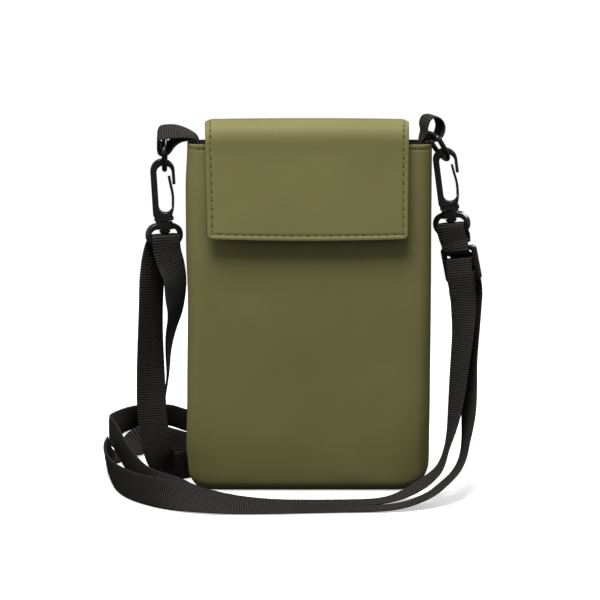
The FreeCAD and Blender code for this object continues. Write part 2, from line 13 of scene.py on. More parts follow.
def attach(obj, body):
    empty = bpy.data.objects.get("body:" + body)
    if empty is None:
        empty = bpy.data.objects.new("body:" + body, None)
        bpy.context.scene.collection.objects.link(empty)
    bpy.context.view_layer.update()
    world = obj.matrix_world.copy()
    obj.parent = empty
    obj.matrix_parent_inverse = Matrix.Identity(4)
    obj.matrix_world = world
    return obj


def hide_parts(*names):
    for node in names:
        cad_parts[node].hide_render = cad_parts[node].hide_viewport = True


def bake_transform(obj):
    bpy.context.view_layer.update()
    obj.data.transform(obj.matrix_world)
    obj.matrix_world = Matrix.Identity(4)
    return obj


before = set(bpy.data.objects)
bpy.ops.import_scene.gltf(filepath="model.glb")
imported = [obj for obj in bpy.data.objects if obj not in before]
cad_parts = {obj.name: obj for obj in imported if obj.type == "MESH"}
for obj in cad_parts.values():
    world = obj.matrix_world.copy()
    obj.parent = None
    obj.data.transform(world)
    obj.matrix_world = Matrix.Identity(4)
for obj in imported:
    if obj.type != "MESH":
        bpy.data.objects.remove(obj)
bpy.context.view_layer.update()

MM = 0.001
scene = bpy.context.scene

# %% [markdown]
# ## The camera
# The photograph looks at the pouch from straight in front and a little above, from far away, so the
# sides hardly converge. A long lens on a distant camera gives that, and 0.49 mm falls on one pixel.

# %% Place the camera
AIM = Vector((-4.5, 0.0, 94.0)) * MM
CAMERA_DISTANCE = 2500.0 * MM
CAMERA_RISE = math.radians(9.0)
PIXEL = 0.49 * MM
PHOTO_PIXELS = 600
lens = bpy.data.cameras.new("photo_camera")
lens.sensor_width = 36.0
lens.lens = lens.sensor_width * CAMERA_DISTANCE / (PIXEL * PHOTO_PIXELS)
lens.clip_end = 20.0
camera = bpy.data.objects.new("photo_camera", lens)
scene.collection.objects.link(camera)
back_off = Vector((0.0, -math.cos(CAMERA_RISE), math.sin(CAMERA_RISE)))
camera.location = AIM + back_off * CAMERA_DISTANCE
camera.rotation_euler = (math.pi / 2 - CAMERA_RISE, 0.0, 0.0)
scene.camera = camera
print("lens", round(lens.lens, 1), "mm")

# %% [markdown]
# ## Small helpers
# Every finished piece is a mesh in metres whose object stays at the origin. One helper turns a bmesh
# into such an object and smooths its shading.


# %% Helpers for finished pieces
def finished(name, bm):
    """Make an object of a bmesh that is in millimetres."""
    bmesh.ops.scale(bm, vec=(MM, MM, MM), verts=bm.verts)
    for face in bm.faces:
        face.smooth = True
    mesh = bpy.data.meshes.new(name)
    bm.to_mesh(mesh)
    bm.free()
    piece = bpy.data.objects.new(name, mesh)
    scene.collection.objects.link(piece)
    return piece


def dress(piece, finish):
    """Give a piece its material."""
    piece.data.materials.clear()
    piece.data.materials.append(finish)
    return piece


def layered(piece, thickness, offset):
    """Give an open sheet its thickness."""
    wall = piece.modifiers.new("wall", "SOLIDIFY")
    wall.thickness = thickness * MM
    wall.offset = offset
    wall.use_even_offset = True
    return piece


def ease(value):
    """A smooth step from 0 to 1."""
    value = min(max(value, 0.0), 1.0)
    return value * value * (3.0 - 2.0 * value)


# %% [markdown]
# ## Shared surface effects
# Coated cloth, webbing and moulded plastic all need fine relief and slight changes of tone; on the
# webbing the change of tone lights the rib crests as a painted highlight. Each effect is a node group
# with its own inputs, so that a finish can place it at its own scale.


# %% Node group helpers
def new_group(name, inputs, outputs):
    """An empty shader node group with named value inputs."""
    group = bpy.data.node_groups.new(name, "ShaderNodeTree")
    for label, kind, default in inputs:
        socket = group.interface.new_socket(label, in_out="INPUT", socket_type=kind)
        if default is not None:
            socket.default_value = default
    for label, kind in outputs:
        group.interface.new_socket(label, in_out="OUTPUT", socket_type=kind)
    entry = group.nodes.new("NodeGroupInput")
    leave = group.nodes.new("NodeGroupOutput")
    return group, entry, leave


def add(tree, kind, **values):
    """A new node with some of its properties set."""
    node = tree.nodes.new(kind)
    for key, value in values.items():
        setattr(node, key, value)
    return node


def math_node(tree, operation, first, second):
    """A math node fed by sockets or plain numbers."""
    node = add(tree, "ShaderNodeMath", operation=operation)
    for index, source in enumerate((first, second)):
        if isinstance(source, (int, float)):
            node.inputs[index].default_value = source
        else:
            tree.links.new(source, node.inputs[index])
    return node.outputs[0]


# %% Grain and tone groups
def grain_group():
    """Fine pebbled relief and a slow change of tone."""
    group, entry, leave = new_group(
        "fine_grain",
        [("Vector", "NodeSocketVector", None), ("Scale", "NodeSocketFloat", 900.0), ("Patch", "NodeSocketFloat", 25.0)],
        [("Height", "NodeSocketFloat"), ("Tone", "NodeSocketFloat")])
    fine = add(group, "ShaderNodeTexNoise")
    fine.inputs["Detail"].default_value = 3.0
    cells = add(group, "ShaderNodeTexVoronoi")
    slow = add(group, "ShaderNodeTexNoise")
    slow.inputs["Detail"].default_value = 4.0
    for node in (fine, cells, slow):
        group.links.new(entry.outputs["Vector"], node.inputs["Vector"])
    group.links.new(entry.outputs["Scale"], fine.inputs["Scale"])
    group.links.new(entry.outputs["Scale"], cells.inputs["Scale"])
    group.links.new(entry.outputs["Patch"], slow.inputs["Scale"])
    height = math_node(group, "MULTIPLY", fine.outputs["Fac"], cells.outputs["Distance"])
    group.links.new(height, leave.inputs["Height"])
    group.links.new(slow.outputs["Fac"], leave.inputs["Tone"])
    return group


def weave_and_highlight_group():
    """Ribs across a webbing and warp ends along it, from the webbing's own UV map in metres; its tone lights the rib
    crests as a painted highlight.
    """
    group, entry, leave = new_group(
        "webbing_weave_and_highlight",
        [("UV", "NodeSocketVector", None), ("Rib", "NodeSocketFloat", 1.2), ("End", "NodeSocketFloat", 1.3)],
        [("Height", "NodeSocketFloat"), ("Tone", "NodeSocketFloat")])
    split = add(group, "ShaderNodeSeparateXYZ")
    group.links.new(entry.outputs["UV"], split.inputs[0])
    wave = {}
    for label, axis in (("Rib", "Y"), ("End", "X")):
        turns = math_node(group, "DIVIDE", split.outputs[axis], entry.outputs[label])
        turns = math_node(group, "MULTIPLY", turns, 2000.0 * math.pi)
        wave[label] = turns
    ends = math_node(group, "SINE", wave["End"], 0.0)
    shifted = math_node(group, "MULTIPLY", ends, 0.95)
    ribs = math_node(group, "SINE", math_node(group, "ADD", wave["Rib"], shifted), 0.0)
    cross = math_node(group, "MULTIPLY", ends, 0.35)
    both = math_node(group, "ADD", ribs, cross)
    height = math_node(group, "MULTIPLY_ADD", both, 0.4)
    height.node.inputs[2].default_value = 0.5
    group.links.new(height, leave.inputs["Height"])
    # Tone follows the ribs, so the crests come out light: a painted highlight.
    group.links.new(ribs, leave.inputs["Tone"])
    return group


fine_grain = grain_group()
webbing_weave_and_highlight = weave_and_highlight_group()
print("groups", fine_grain.name, webbing_weave_and_highlight.name)


# %% [markdown]
# ## The finishes
# The pouch is coated cloth with a dull, rubbery face. The webbing is black and ribbed, with a painted
# highlight along its rib crests. The hooks and the slider are satin plastic. Each finish has its own
# small changes of tone and roughness.


# %% Coated cloth, webbing, lining, plastic and steel
def srgb(red, green, blue):
    """A screen colour as the linear colour that a shader takes."""
    linear = []
    for value in (red, green, blue):
        share = value / 255.0
        linear.append(share / 12.92 if share < 0.04045 else ((share + 0.055) / 1.055) ** 2.4)
    return (*linear, 1.0)


def new_finish(name, roughness):
    """A material with a Principled shader."""
    finish = bpy.data.materials.new(name)
    finish.use_nodes = True
    shader = finish.node_tree.nodes["Principled BSDF"]
    shader.inputs["Roughness"].default_value = roughness
    return finish, finish.node_tree, shader


def toned(tree, shader, tone, dark, light, spread):
    """Mix two colours by a tone and feed them to the shader."""
    ramp = add(tree, "ShaderNodeMapRange")
    ramp.inputs["From Min"].default_value = 0.5 - spread
    ramp.inputs["From Max"].default_value = 0.5 + spread
    tree.links.new(tone, ramp.inputs["Value"])
    mix = add(tree, "ShaderNodeMix", data_type="RGBA")
    mix.inputs["A"].default_value = dark
    mix.inputs["B"].default_value = light
    tree.links.new(ramp.outputs["Result"], mix.inputs["Factor"])
    tree.links.new(mix.outputs["Result"], shader.inputs["Base Color"])
    return mix


def raised(tree, shader, height, distance, strength):
    """Feed a height to the shader's normal."""
    bump = add(tree, "ShaderNodeBump")
    bump.inputs["Distance"].default_value = distance * MM
    bump.inputs["Strength"].default_value = strength
    tree.links.new(height, bump.inputs["Height"])
    tree.links.new(bump.outputs["Normal"], shader.inputs["Normal"])


def grained(name, dark, light, roughness, scale, patch, depth):
    """A finish with fine grain and slow changes of tone."""
    finish, tree, shader = new_finish(name, roughness)
    place = add(tree, "ShaderNodeTexCoord")
    grain = add(tree, "ShaderNodeGroup", node_tree=fine_grain)
    grain.inputs["Scale"].default_value = scale
    grain.inputs["Patch"].default_value = patch
    tree.links.new(place.outputs["Object"], grain.inputs["Vector"])
    toned(tree, shader, grain.outputs["Tone"], dark, light, 0.2)
    raised(tree, shader, grain.outputs["Height"], depth, 0.35)
    return finish, tree, shader, grain


def woven(name, dark, light, roughness, depth):
    """A ribbed webbing finish that follows the webbing's own UV map, with its light colour painted on the rib crests as
    a highlight.
    """
    finish, tree, shader = new_finish(name, roughness)
    own = add(tree, "ShaderNodeUVMap", uv_map="webbing")
    weave = add(tree, "ShaderNodeGroup", node_tree=webbing_weave_and_highlight)
    tree.links.new(own.outputs["UV"], weave.inputs["UV"])
    shader.inputs["Specular IOR Level"].default_value = 0.25
    toned(tree, shader, weave.outputs["Tone"], dark, light, 0.5)
    raised(tree, shader, weave.outputs["Height"], depth, 0.8)
    return finish


OLIVE_DARK = srgb(116, 113, 66)
OLIVE_LIGHT = srgb(124, 121, 73)
olive_cloth = grained("olive_coated_cloth", OLIVE_DARK, OLIVE_LIGHT, 0.7, 1400.0, 22.0, 0.06)
olive_cloth[2].inputs["Specular IOR Level"].default_value = 0.35
olive_cloth = olive_cloth[0]
olive_thread = grained("olive_thread", srgb(96, 93, 48), srgb(112, 108, 60), 0.8, 2500.0, 300.0, 0.1)[0]
dark_lining = grained("black_lining", srgb(16, 15, 15), srgb(26, 24, 24), 0.9, 1800.0, 200.0, 0.12)[0]
black_thread = grained("black_thread", srgb(12, 11, 11), srgb(34, 31, 30), 0.85, 2500.0, 300.0, 0.1)[0]
# Painted shade: the olive darkened for the shadow inside the needle holes.
needle_hole_shade = grained("needle_hole_shade", srgb(20, 19, 7), srgb(30, 28, 12), 0.95, 2500.0, 300.0, 0.05)[0]
# The light colour is a painted highlight on the rib crests of the black webbing.
black_webbing = woven("black_webbing", srgb(8, 7, 7), srgb(66, 61, 58), 0.8, 0.3)
satin_plastic = grained("satin_plastic", srgb(22, 20, 20), srgb(30, 27, 27), 0.27, 700.0, 60.0, 0.03)[0]
plain_steel = grained("plain_steel", srgb(160, 160, 160), srgb(185, 185, 185), 0.35, 900.0, 80.0, 0.02)
plain_steel[2].inputs["Metallic"].default_value = 1.0
plain_steel = plain_steel[0]
print("finishes", len(bpy.data.materials))

# %% [markdown]
# ## The strap
# One webbing of nearly a metre and a half hangs from both hooks and lies round the pouch. Each run
# is a smooth NURBS line through listed stations, and a second one tells which way the webbing
# lies across it. The webbing itself is a thin section that is extruded from point to point.

# %% The routes
INNER_RUN = [
    (74.93, -3.1, 98.8, -0.85, 0.5, -0.16),
    (75.32, -3.15, 96.8, -0.85, 0.5, -0.12),
    (75.6, -3.4, 90.0, -0.82, 0.55, 0.0),
    (75.5, -4.0, 79.0, -0.72, 0.7, 0.0),
    (74.1, -5.0, 66.0, -0.62, 0.78, 0.0),
    (72.8, -6.5, 52.0, -0.55, 0.83, 0.0),
    (71.4, -8.0, 40.0, -0.42, 0.9, 0.0),
    (69.7, -10.5, 30.0, -0.22, 0.97, 0.0),
    (67.2, -14.0, 21.5, -0.03, 1.0, 0.0),
    (63.4, -20.0, 14.0, 0.0, 1.0, 0.1),
    (57.0, -26.5, 8.8, 0.0, 1.0, 0.15),
    (49.0, -32.5, 4.6, 0.0, 1.0, 0.1),
    (40.0, -37.0, 1.9, 0.0, 1.0, 0.0),
    (30.0, -39.2, 0.8, 0.0, 1.0, 0.0),
    (16.0, -39.9, 0.7, 0.0, 1.0, 0.0),
    (0.0, -40.4, 0.7, 0.0, 1.0, 0.0),
    (-16.0, -40.8, 0.8, 0.0, 1.0, 0.02),
    (-32.0, -41.2, 1.6, 0.0, 0.98, 0.12),
    (-45.0, -41.6, 3.0, 0.05, 0.93, 0.3),
    (-55.0, -42.2, 4.5, 0.05, 0.84, 0.5),
    (-64.0, -41.6, 6.5, 0.0, 0.6, 0.78),
    (-73.0, -35.0, 7.6, 0.0, 0.25, 0.97),
    (-80.0, -18.0, 7.6, 0.0, 0.0, 1.0),
    (-86.3, 12.0, 7.7, 0.0, 0.0, 1.0),
    (-92.4, 44.0, 9.0, 0.0, 0.0, 1.0),
    (-98.2, 74.0, 13.2, 0.0, 0.0, 1.0),
    (-102.6, 102.0, 10.6, 0.0, 0.0, 1.0),
    (-101.0, 128.0, 7.8, 0.0, -0.1, 1.0),
    (-95.0, 150.0, 7.3, 0.1, -0.35, 0.9),
    (-84.0, 168.0, 6.7, 0.1, -0.6, 0.8),
    (-72.0, 164.0, 6.9, 0.0, -0.62, 0.78),
    (-62.0, 142.0, 7.6, -0.2, -0.4, 0.9),
    (-50.0, 120.0, 7.5, 0.0, -0.1, 1.0),
    (-38.0, 98.0, 7.4, 0.0, 0.0, 1.0),
    (-29.0, 74.0, 7.4, 0.0, 0.0, 1.0),
    (-30.0, 52.0, 7.4, 0.0, 0.0, 1.0),
    (-42.0, 38.0, 7.4, 0.0, 0.0, 1.0),
    (-55.0, 30.0, 7.4, 0.0, 0.0, 1.0),
    (-63.6, 22.6, 7.4, 0.0, 0.0, 1.0),
    (-69.2, 13.6, 8.0, 0.3, 0.1, 0.95),
    (-73.2, 8.2, 12.4, 0.85, 0.1, 0.5),
    (-75.6, 6.4, 22.0, 0.98, 0.05, 0.2),
    (-77.6, 6.0, 36.0, 1.0, 0.03, 0.05),
    (-77.996, 6.304, 55.0, 0.95, 0.3, 0.0),
    (-78.122, 5.188, 75.0, 0.82, 0.55, 0.0),
    (-77.659, 4.259, 92.0, 0.78, 0.6, 0.0),
    (-77.24, 4.18, 103.48, 0.82, 0.55, 0.0),
    (-75.74, 4.28, 112.08, 0.9, 0.42, 0.0),
]
OUTER_RUN = [
    (78.55, 3.5, 99.5, -0.85, 0.5, -0.12),
    (78.8, 3.42, 97.4, -0.85, 0.5, -0.08),
    (78.2, 2.9, 90.0, -0.85, 0.5, 0.0),
    (78.0, 1.4, 78.0, -0.74, 0.66, 0.0),
    (78.0, -1.0, 64.0, -0.56, 0.83, 0.0),
    (78.4, -5.0, 50.0, -0.5, 0.87, 0.0),
    (78.2, -9.0, 38.0, -0.42, 0.9, 0.0),
    (77.2, -13.5, 28.0, -0.22, 0.97, 0.0),
    (75.4, -19.0, 20.0, -0.08, 1.0, 0.0),
    (72.0, -26.5, 14.6, 0.0, 1.0, 0.0),
    (66.8, -35.0, 10.4, 0.0, 1.0, 0.0),
    (59.4, -43.0, 5.8, 0.0, 1.0, 0.0),
    (50.0, -49.5, 2.7, 0.0, 1.0, -0.02),
    (40.0, -53.2, 1.1, 0.0, 1.0, 0.0),
    (28.0, -54.9, 0.7, 0.0, 1.0, 0.0),
    (14.0, -55.6, 0.7, 0.0, 1.0, 0.0),
    (0.0, -57.0, 0.7, 0.0, 1.0, 0.0),
    (-14.0, -58.8, 1.1, 0.0, 1.0, 0.05),
    (-28.0, -60.2, 1.8, 0.0, 0.98, 0.14),
    (-40.0, -60.4, 3.0, 0.0, 0.95, 0.32),
    (-52.0, -58.6, 4.9, 0.0, 0.82, 0.57),
    (-64.0, -54.2, 6.8, 0.0, 0.5, 0.86),
    (-76.0, -46.6, 7.5, 0.0, 0.15, 0.99),
    (-87.0, -32.0, 7.5, 0.0, 0.0, 1.0),
    (-95.0, -10.0, 7.5, -0.08, 0.0, 1.0),
    (-99.4, 16.0, 7.5, -0.2, 0.0, 0.98),
    (-101.9, 42.0, 7.6, -0.16, 0.0, 0.99),
    (-100.5, 65.0, 7.8, -0.08, 0.1, 0.99),
    (-97.2, 78.0, 1.9, -0.98, 0.2, 0.0),
    (-92.4, 88.0, 1.2, -0.94, 0.34, 0.0),
    (-86.0, 95.0, 7.4, -0.3, 0.4, 0.86),
    (-77.0, 94.0, 7.7, 0.0, 0.0, 1.0),
    (-68.0, 82.0, 7.4, 0.0, 0.0, 1.0),
    (-58.0, 68.0, 7.4, 0.0, 0.0, 1.0),
    (-51.0, 58.0, 7.4, 0.0, 0.0, 1.0),
    (-50.5, 46.0, 7.4, 0.0, 0.0, 1.0),
    (-56.5, 37.0, 7.4, 0.0, 0.0, 1.0),
    (-63.6, 28.4, 7.4, 0.0, 0.0, 1.0),
    (-68.4, 22.4, 8.6, 0.1, 0.4, 0.9),
    (-72.0, 18.6, 14.0, 0.15, 0.85, 0.5),
    (-73.2, 17.4, 26.0, 0.1, 0.98, 0.1),
    (-72.0, 17.2, 40.0, 0.0, 1.0, 0.0),
    (-69.6, 16.3, 54.0, 0.0, 1.0, 0.0),
    (-69.155, 9.75, 66.0, 0.1, 0.99, 0.0),
    (-67.711, 3.7, 78.0, 0.3, 0.95, 0.0),
    (-65.2, -0.058, 88.0, 0.45, 0.88, 0.0),
    (-65.5, -1.72, 97.0, 0.68, 0.72, 0.0),
    (-65.44, -1.52, 105.48, 0.74, 0.67, 0.0),
    (-67.64, -1.12, 112.08, 0.9, 0.42, 0.0),
]
LEFT_FOLD_RUN = [
    (-67.77, -1.1, 112.48, 0.9, 0.42, 0.0),
    (-69.34, -1.07, 117.38, 0.92, 0.38, 0.0),
    (-69.82, -1.29, 121.68, 0.93, 0.37, 0.0),
    (-69.85, -1.29, 123.68, 0.93, 0.37, 0.0),
    (-69.96, -1.01, 125.83, 0.93, 0.37, 0.0),
    (-70.94, 1.42, 126.23, 0.93, 0.37, 0.0),
    (-71.91, 3.83, 125.83, 0.93, 0.37, 0.0),
    (-72.03, 4.11, 123.68, 0.93, 0.37, 0.0),
    (-74.44, 4.28, 118.88, 0.92, 0.38, 0.0),
    (-75.66, 4.28, 112.48, 0.9, 0.42, 0.0),
]
RIGHT_END_RUN = [
    (72.1, 0.5, 121.65, 0.92, -0.37, 0.12),
    (72.1, 2.1, 123.35, 0.92, -0.37, 0.12),
    (71.7, 4.45, 125.45, 0.92, -0.37, 0.12),
    (71.1, 4.47, 129.25, 0.92, -0.37, 0.12),
    (70.75, 4.2, 131.4, 0.92, -0.37, 0.12),
    (69.7, 1.8, 131.8, 0.92, -0.37, 0.12),
    (68.75, -0.6, 131.2, 0.92, -0.37, 0.12),
    (68.9, -0.95, 129.4, 0.92, -0.37, 0.12),
    (69.75, -1.1, 126.05, 0.92, -0.37, 0.12),
    (70.95, -1.25, 122.65, 0.9, -0.4, 0.14),
]
RIGHT_UPPER_RUN = [
    (71.05, -1.5, 122.1, 0.89, -0.42, 0.14),
    (71.6, -2.08, 119.6, 0.86, -0.48, 0.16),
    (71.88, -2.05, 117.8, 0.85, -0.5, 0.16),
    (73.5, 0.3, 116.6, 0.85, -0.5, 0.16),
    (75.3, 3.1, 116.0, 0.85, -0.5, 0.16),
    (76.35, 3.85, 112.8, 0.85, -0.5, 0.16),
    (77.1, 3.75, 108.4, 0.85, -0.5, 0.16),
    (77.95, 3.6, 103.5, 0.85, -0.5, 0.14),
    (78.48, 3.5, 100.0, 0.85, -0.5, 0.12),
]
LEFT_TAB_RUN = [
    (-53.9, 0.0, 160.0, 0.0, 1.0, 0.0),
    (-53.9, 0.0, 168.0, 0.0, 1.0, 0.0),
    (-54.2, 0.0, 174.2, 0.0, 1.0, 0.02),
    (-59.5, -0.5, 176.6, 0.0, 0.98, 0.18),
    (-64.0, -1.6, 177.5, 0.0, 0.94, 0.33),
    (-69.5, -2.0, 177.4, 0.0, 0.927, 0.375),
    (-73.5, -1.8, 176.6, 0.0, 0.927, 0.375),
    (-73.7, -0.1, 172.4, 0.0, 0.927, 0.375),
    (-73.5, 1.5, 168.7, 0.0, 0.927, 0.375),
    (-70.3, 1.75, 168.2, 0.0, 0.927, 0.375),
    (-67.9, 1.2, 169.6, 0.0, 0.927, 0.375),
    (-65.8, 0.2, 172.9, 0.0, 0.94, 0.33),
    (-62.4, -0.2, 174.9, 0.0, 0.965, 0.25),
    (-58.8, 0.0, 174.4, 0.0, 0.99, 0.1),
    (-55.2, 0.0, 172.9, 0.0, 1.0, 0.0),
    (-55.3, 0.0, 168.0, 0.0, 1.0, 0.0),
    (-55.3, 0.0, 160.0, 0.0, 1.0, 0.0),
]
RIGHT_TAB_RUN = [
    (53.8, 0.0, 160.0, 0.0, 1.0, 0.0),
    (53.8, 0.0, 168.0, 0.0, 1.0, 0.0),
    (53.9, 0.0, 173.2, -0.04, 1.0, 0.0),
    (55.6, -0.7, 177.0, -0.2, 0.98, 0.0),
    (55.7, -1.2, 181.4, -0.292, 0.956, 0.0),
    (57.4, -0.7, 184.9, -0.292, 0.956, 0.0),
    (61.8, 0.6, 184.6, -0.292, 0.956, 0.0),
    (64.2, 1.35, 180.8, -0.292, 0.956, 0.0),
    (63.6, 1.2, 176.3, -0.292, 0.956, 0.0),
    (61.1, 0.4, 173.25, -0.29, 0.957, 0.0),
    (57.8, -0.5, 173.15, -0.18, 0.984, 0.0),
    (55.0, 0.0, 172.6, 0.0, 1.0, 0.0),
    (55.2, 0.0, 168.0, 0.0, 1.0, 0.0),
    (55.2, 0.0, 160.0, 0.0, 1.0, 0.0),
]
SLIDER_FOLD_RUN = [
    (-2.5, -11.5),
    (-2.5, -8.0),
    (-2.1, -5.4),
    (0.6, -3.6),
    (2.35, -2.0),
    (2.35, 0.4),
    (1.95, 2.45),
    (0.0, 2.8),
    (-1.95, 2.45),
    (-2.35, 0.3),
    (-3.0, -3.0),
    (-3.9, -6.5),
    (-3.9, -12.5),
]
SLIDER_AT = Vector((74.4, 0.3, 112.0))
SLIDER_TURN = Matrix.Rotation(math.radians(-10.8), 3, "Y") @ Matrix.Rotation(math.radians(-30.0), 3, "Z")
slider_across = SLIDER_TURN @ Vector((1.0, 0.0, 0.0))
slider_stations = []
for depth, height in SLIDER_FOLD_RUN:
    place = SLIDER_AT + SLIDER_TURN @ Vector((0.0, depth, height))
    slider_stations.append((*place, *slider_across))
print("stations", len(INNER_RUN), len(OUTER_RUN))


# %% Webbing along a route
WEB_WIDTH = 14.5
WEB_THICKNESS = 1.2
POINTS_PER_STATION = 8
SECTION_SIDES = 24


def nurbs_points(stations):
    """The points that Blender gives for a smooth line through stations."""
    curve = bpy.data.curves.new("route", "CURVE")
    curve.dimensions = "3D"
    line = curve.splines.new("NURBS")
    line.points.add(len(stations) - 1)
    for point, station in zip(line.points, stations):
        point.co = (*station, 1.0)
    line.order_u = 3
    line.use_endpoint_u = True
    line.resolution_u = POINTS_PER_STATION
    holder = bpy.data.objects.new("route", curve)
    mesh = bpy.data.meshes.new_from_object(holder)
    points = [vertex.co.copy() for vertex in mesh.vertices]
    bpy.data.objects.remove(holder)
    bpy.data.meshes.remove(mesh)
    return points


def stretch(stations, first_span, last_span):
    """The places and the directions across them, between two spans of a route."""
    places = nurbs_points([s[:3] for s in stations])
    sides = nurbs_points([s[3:] for s in stations])
    spans = len(stations) - 2
    start = round((len(places) - 1) * first_span / spans)
    stop = round((len(places) - 1) * last_span / spans)
    frames = []
    for index in range(start, stop + 1):
        before = places[max(index - 1, 0)]
        after = places[min(index + 1, len(places) - 1)]
        along = (after - before).normalized()
        across = (sides[index] - along * sides[index].dot(along)).normalized()
        turn = Matrix((across, along.cross(across), along)).transposed().to_4x4()
        frames.append(Matrix.Translation(places[index]) @ turn)
    return frames


def webbing(name, frames):
    """Extrude the webbing's thin section from frame to frame."""
    bm = bmesh.new()
    uv = bm.loops.layers.uv.new("webbing")
    along = bm.verts.layers.float.new("along")
    across = bm.verts.layers.float.new("across")
    bmesh.ops.create_circle(bm, cap_ends=True, radius=1.0, segments=SECTION_SIDES)
    for vertex in bm.verts:
        x, y = vertex.co.x, vertex.co.y
        vertex.co.x = math.copysign(abs(x) ** 0.45, x) * WEB_WIDTH / 2
        vertex.co.y = math.copysign(abs(y) ** 0.6, y) * WEB_THICKNESS / 2
        vertex[across] = vertex.co.x * MM
    bmesh.ops.transform(bm, matrix=frames[0], verts=bm.verts)
    loop = list(bm.edges)
    rims = list(loop)
    travelled = 0.0
    for before, after in zip(frames, frames[1:]):
        grown = bmesh.ops.extrude_edge_only(bm, edges=loop)["geom"]
        ring = [item for item in grown if isinstance(item, bmesh.types.BMVert)]
        members = set(ring)
        loop = [item for item in grown if isinstance(item, bmesh.types.BMEdge)]
        loop = [edge for edge in loop if edge.verts[0] in members and edge.verts[1] in members]
        bmesh.ops.transform(bm, matrix=after @ before.inverted(), verts=ring)
        travelled += (after.translation - before.translation).length
        for vertex in ring:
            vertex[along] = travelled * MM
    bmesh.ops.contextual_create(bm, geom=loop)
    bmesh.ops.recalc_face_normals(bm, faces=bm.faces)
    for edge in rims + loop:
        edge.smooth = False
    for face in bm.faces:
        for corner in face.loops:
            corner[uv].uv = (corner.vert[across], corner.vert[along])
    piece = finished(name, bm)
    dress(piece, black_webbing)
    print(name, round(travelled, 1), "mm")
    return piece, travelled


# %% The long stretches of the strap
INNER_FOOT = 12
INNER_RISE = 39
OUTER_FOOT = 13
OUTER_RISE = 38
LONG_STRETCHES = (
    ("strap_right_inner", INNER_RUN, 0, INNER_FOOT, "right_drop_inner"),
    ("strap_floor_inner", INNER_RUN, INNER_FOOT, INNER_RISE - 1, "floor_inner"),
    ("strap_left_back", INNER_RUN, INNER_RISE - 1, len(INNER_RUN) - 2, "left_drop_back"),
    ("strap_right_outer", OUTER_RUN, 0, OUTER_FOOT, "right_drop_outer"),
    ("strap_floor_outer", OUTER_RUN, OUTER_FOOT, OUTER_RISE - 1, "floor_outer"),
    ("strap_left_front", OUTER_RUN, OUTER_RISE - 1, len(OUTER_RUN) - 2, "left_drop_front"),
)
strap = {}
line_of = {}
for name, run, first, last, node in LONG_STRETCHES:
    frames = stretch(run, first, last)
    line_of[name] = frames
    piece, length = webbing(name, frames)
    path = [f.translation * MM for f in frames]
    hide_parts(node)
    strap[name] = (piece, path, length)

# %% The short folds of the strap and the tabs
SHORT_STRETCHES = (
    ("strap_left_fold", LEFT_FOLD_RUN, "left_strap_fold", "left_clip"),
    ("strap_right_end", RIGHT_END_RUN, "right_sewn_end", "right_clip"),
    ("strap_right_upper", RIGHT_UPPER_RUN, "right_upper_strap", "right_clip"),
    ("strap_slider_fold", slider_stations, "slider_fold", "strap_slider"),
    ("left_webbing_tab", LEFT_TAB_RUN, "left_tab", "pouch"),
    ("right_webbing_tab", RIGHT_TAB_RUN, "right_tab", "pouch"),
)
TURN_BACK = Matrix.Rotation(math.pi, 4, "X")
TURN_OVER = Matrix.Rotation(math.pi, 4, "Z")
# A fold begins or ends on another stretch's end: that stretch, which of its ends, and how it is turned
BEGINS_ON = {
    "strap_left_fold": ("strap_left_front", -1, Matrix()),
    "strap_right_upper": ("strap_right_end", -1, Matrix()),
}
ENDS_ON = {
    "strap_left_fold": ("strap_left_back", -1, TURN_BACK),
    "strap_right_upper": ("strap_right_outer", 0, TURN_OVER),
    "strap_slider_fold": ("strap_right_inner", 0, TURN_OVER),
}
for name, run, node, body in SHORT_STRETCHES:
    frames = stretch(run, 0, len(run) - 2)
    for at, table in ((0, BEGINS_ON), (-1, ENDS_ON)):
        if name in table:
            other, end, turn = table[name]
            frames[at] = line_of[other][end] @ turn
    line_of[name] = frames
    piece, length = webbing(name, frames)
    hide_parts(node)
    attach(piece, body)

# %% [markdown]
# ## Which stretches go with the pouch
# The stretches on the floor stay with the pouch. The four drops are baked where they hang and
# are tied to no body.

# %% Tie the floor stretches to the pouch
DROPS = {
    "strap_right_inner": "right_clip",
    "strap_right_outer": "right_clip",
    "strap_left_back": "left_clip",
    "strap_left_front": "left_clip",
}
for name, (piece, path, length) in strap.items():
    if name in DROPS:
        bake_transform(piece)
    else:
        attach(piece, "pouch")
print("strap", round(sum(item[2] for item in strap.values()), 1), "mm in long stretches")

# %% [markdown]
# ## The sewn pouch
# The pouch is two sheets sewn together round the sides and the base, so it is a soft rounded box.
# A cube with bevelled edges gives its form. Cuts make a fine grid of it, and the grid is then moved
# a little, as the photograph shows: wavy sides, a fuller belly and rounder lower corners.

# %% Sizes of the pouch
BODY_WIDTH = 119.0
BODY_DEPTH = 20.0
BODY_HEIGHT = 172.0
SIDE_ROUND = 6.0
BASE_ROUND = 5.0
COVER = 1.2
LINING = 0.6
FACING = 14.0
GRID = 5.0
# Height, then how far the left side and the right side stand out from the plain box
SIDE_WAVES = ((0.0, -0.4, -0.9), (10.0, -0.2, -0.7), (22.0, 0.9, -0.5), (46.0, 0.4, -0.2), (94.0, -0.1, 0.1),
              (124.0, 0.7, 0.1), (150.0, 0.8, 0.2), (172.0, -0.1, 0.3))
LOWER_CORNER = {-1.0: 10.0, 1.0: 15.0}
LEAN = 1.2
LEAN_TOP = 130.0
BASE_ROLL = 1.8
ROLL_HEIGHT = 28.0
SIDE_ROLL = 0.7
CORNER_ROLL = 2.4
CORNER_HEIGHT = 45.0
MOUTH_SEAM_DROP = 2.45
MOUTH_STITCH = 2.45
RIM_CUTS = (0.5, 1.1, 1.7, 2.1, 2.45, 2.8, 3.3, 4.0)


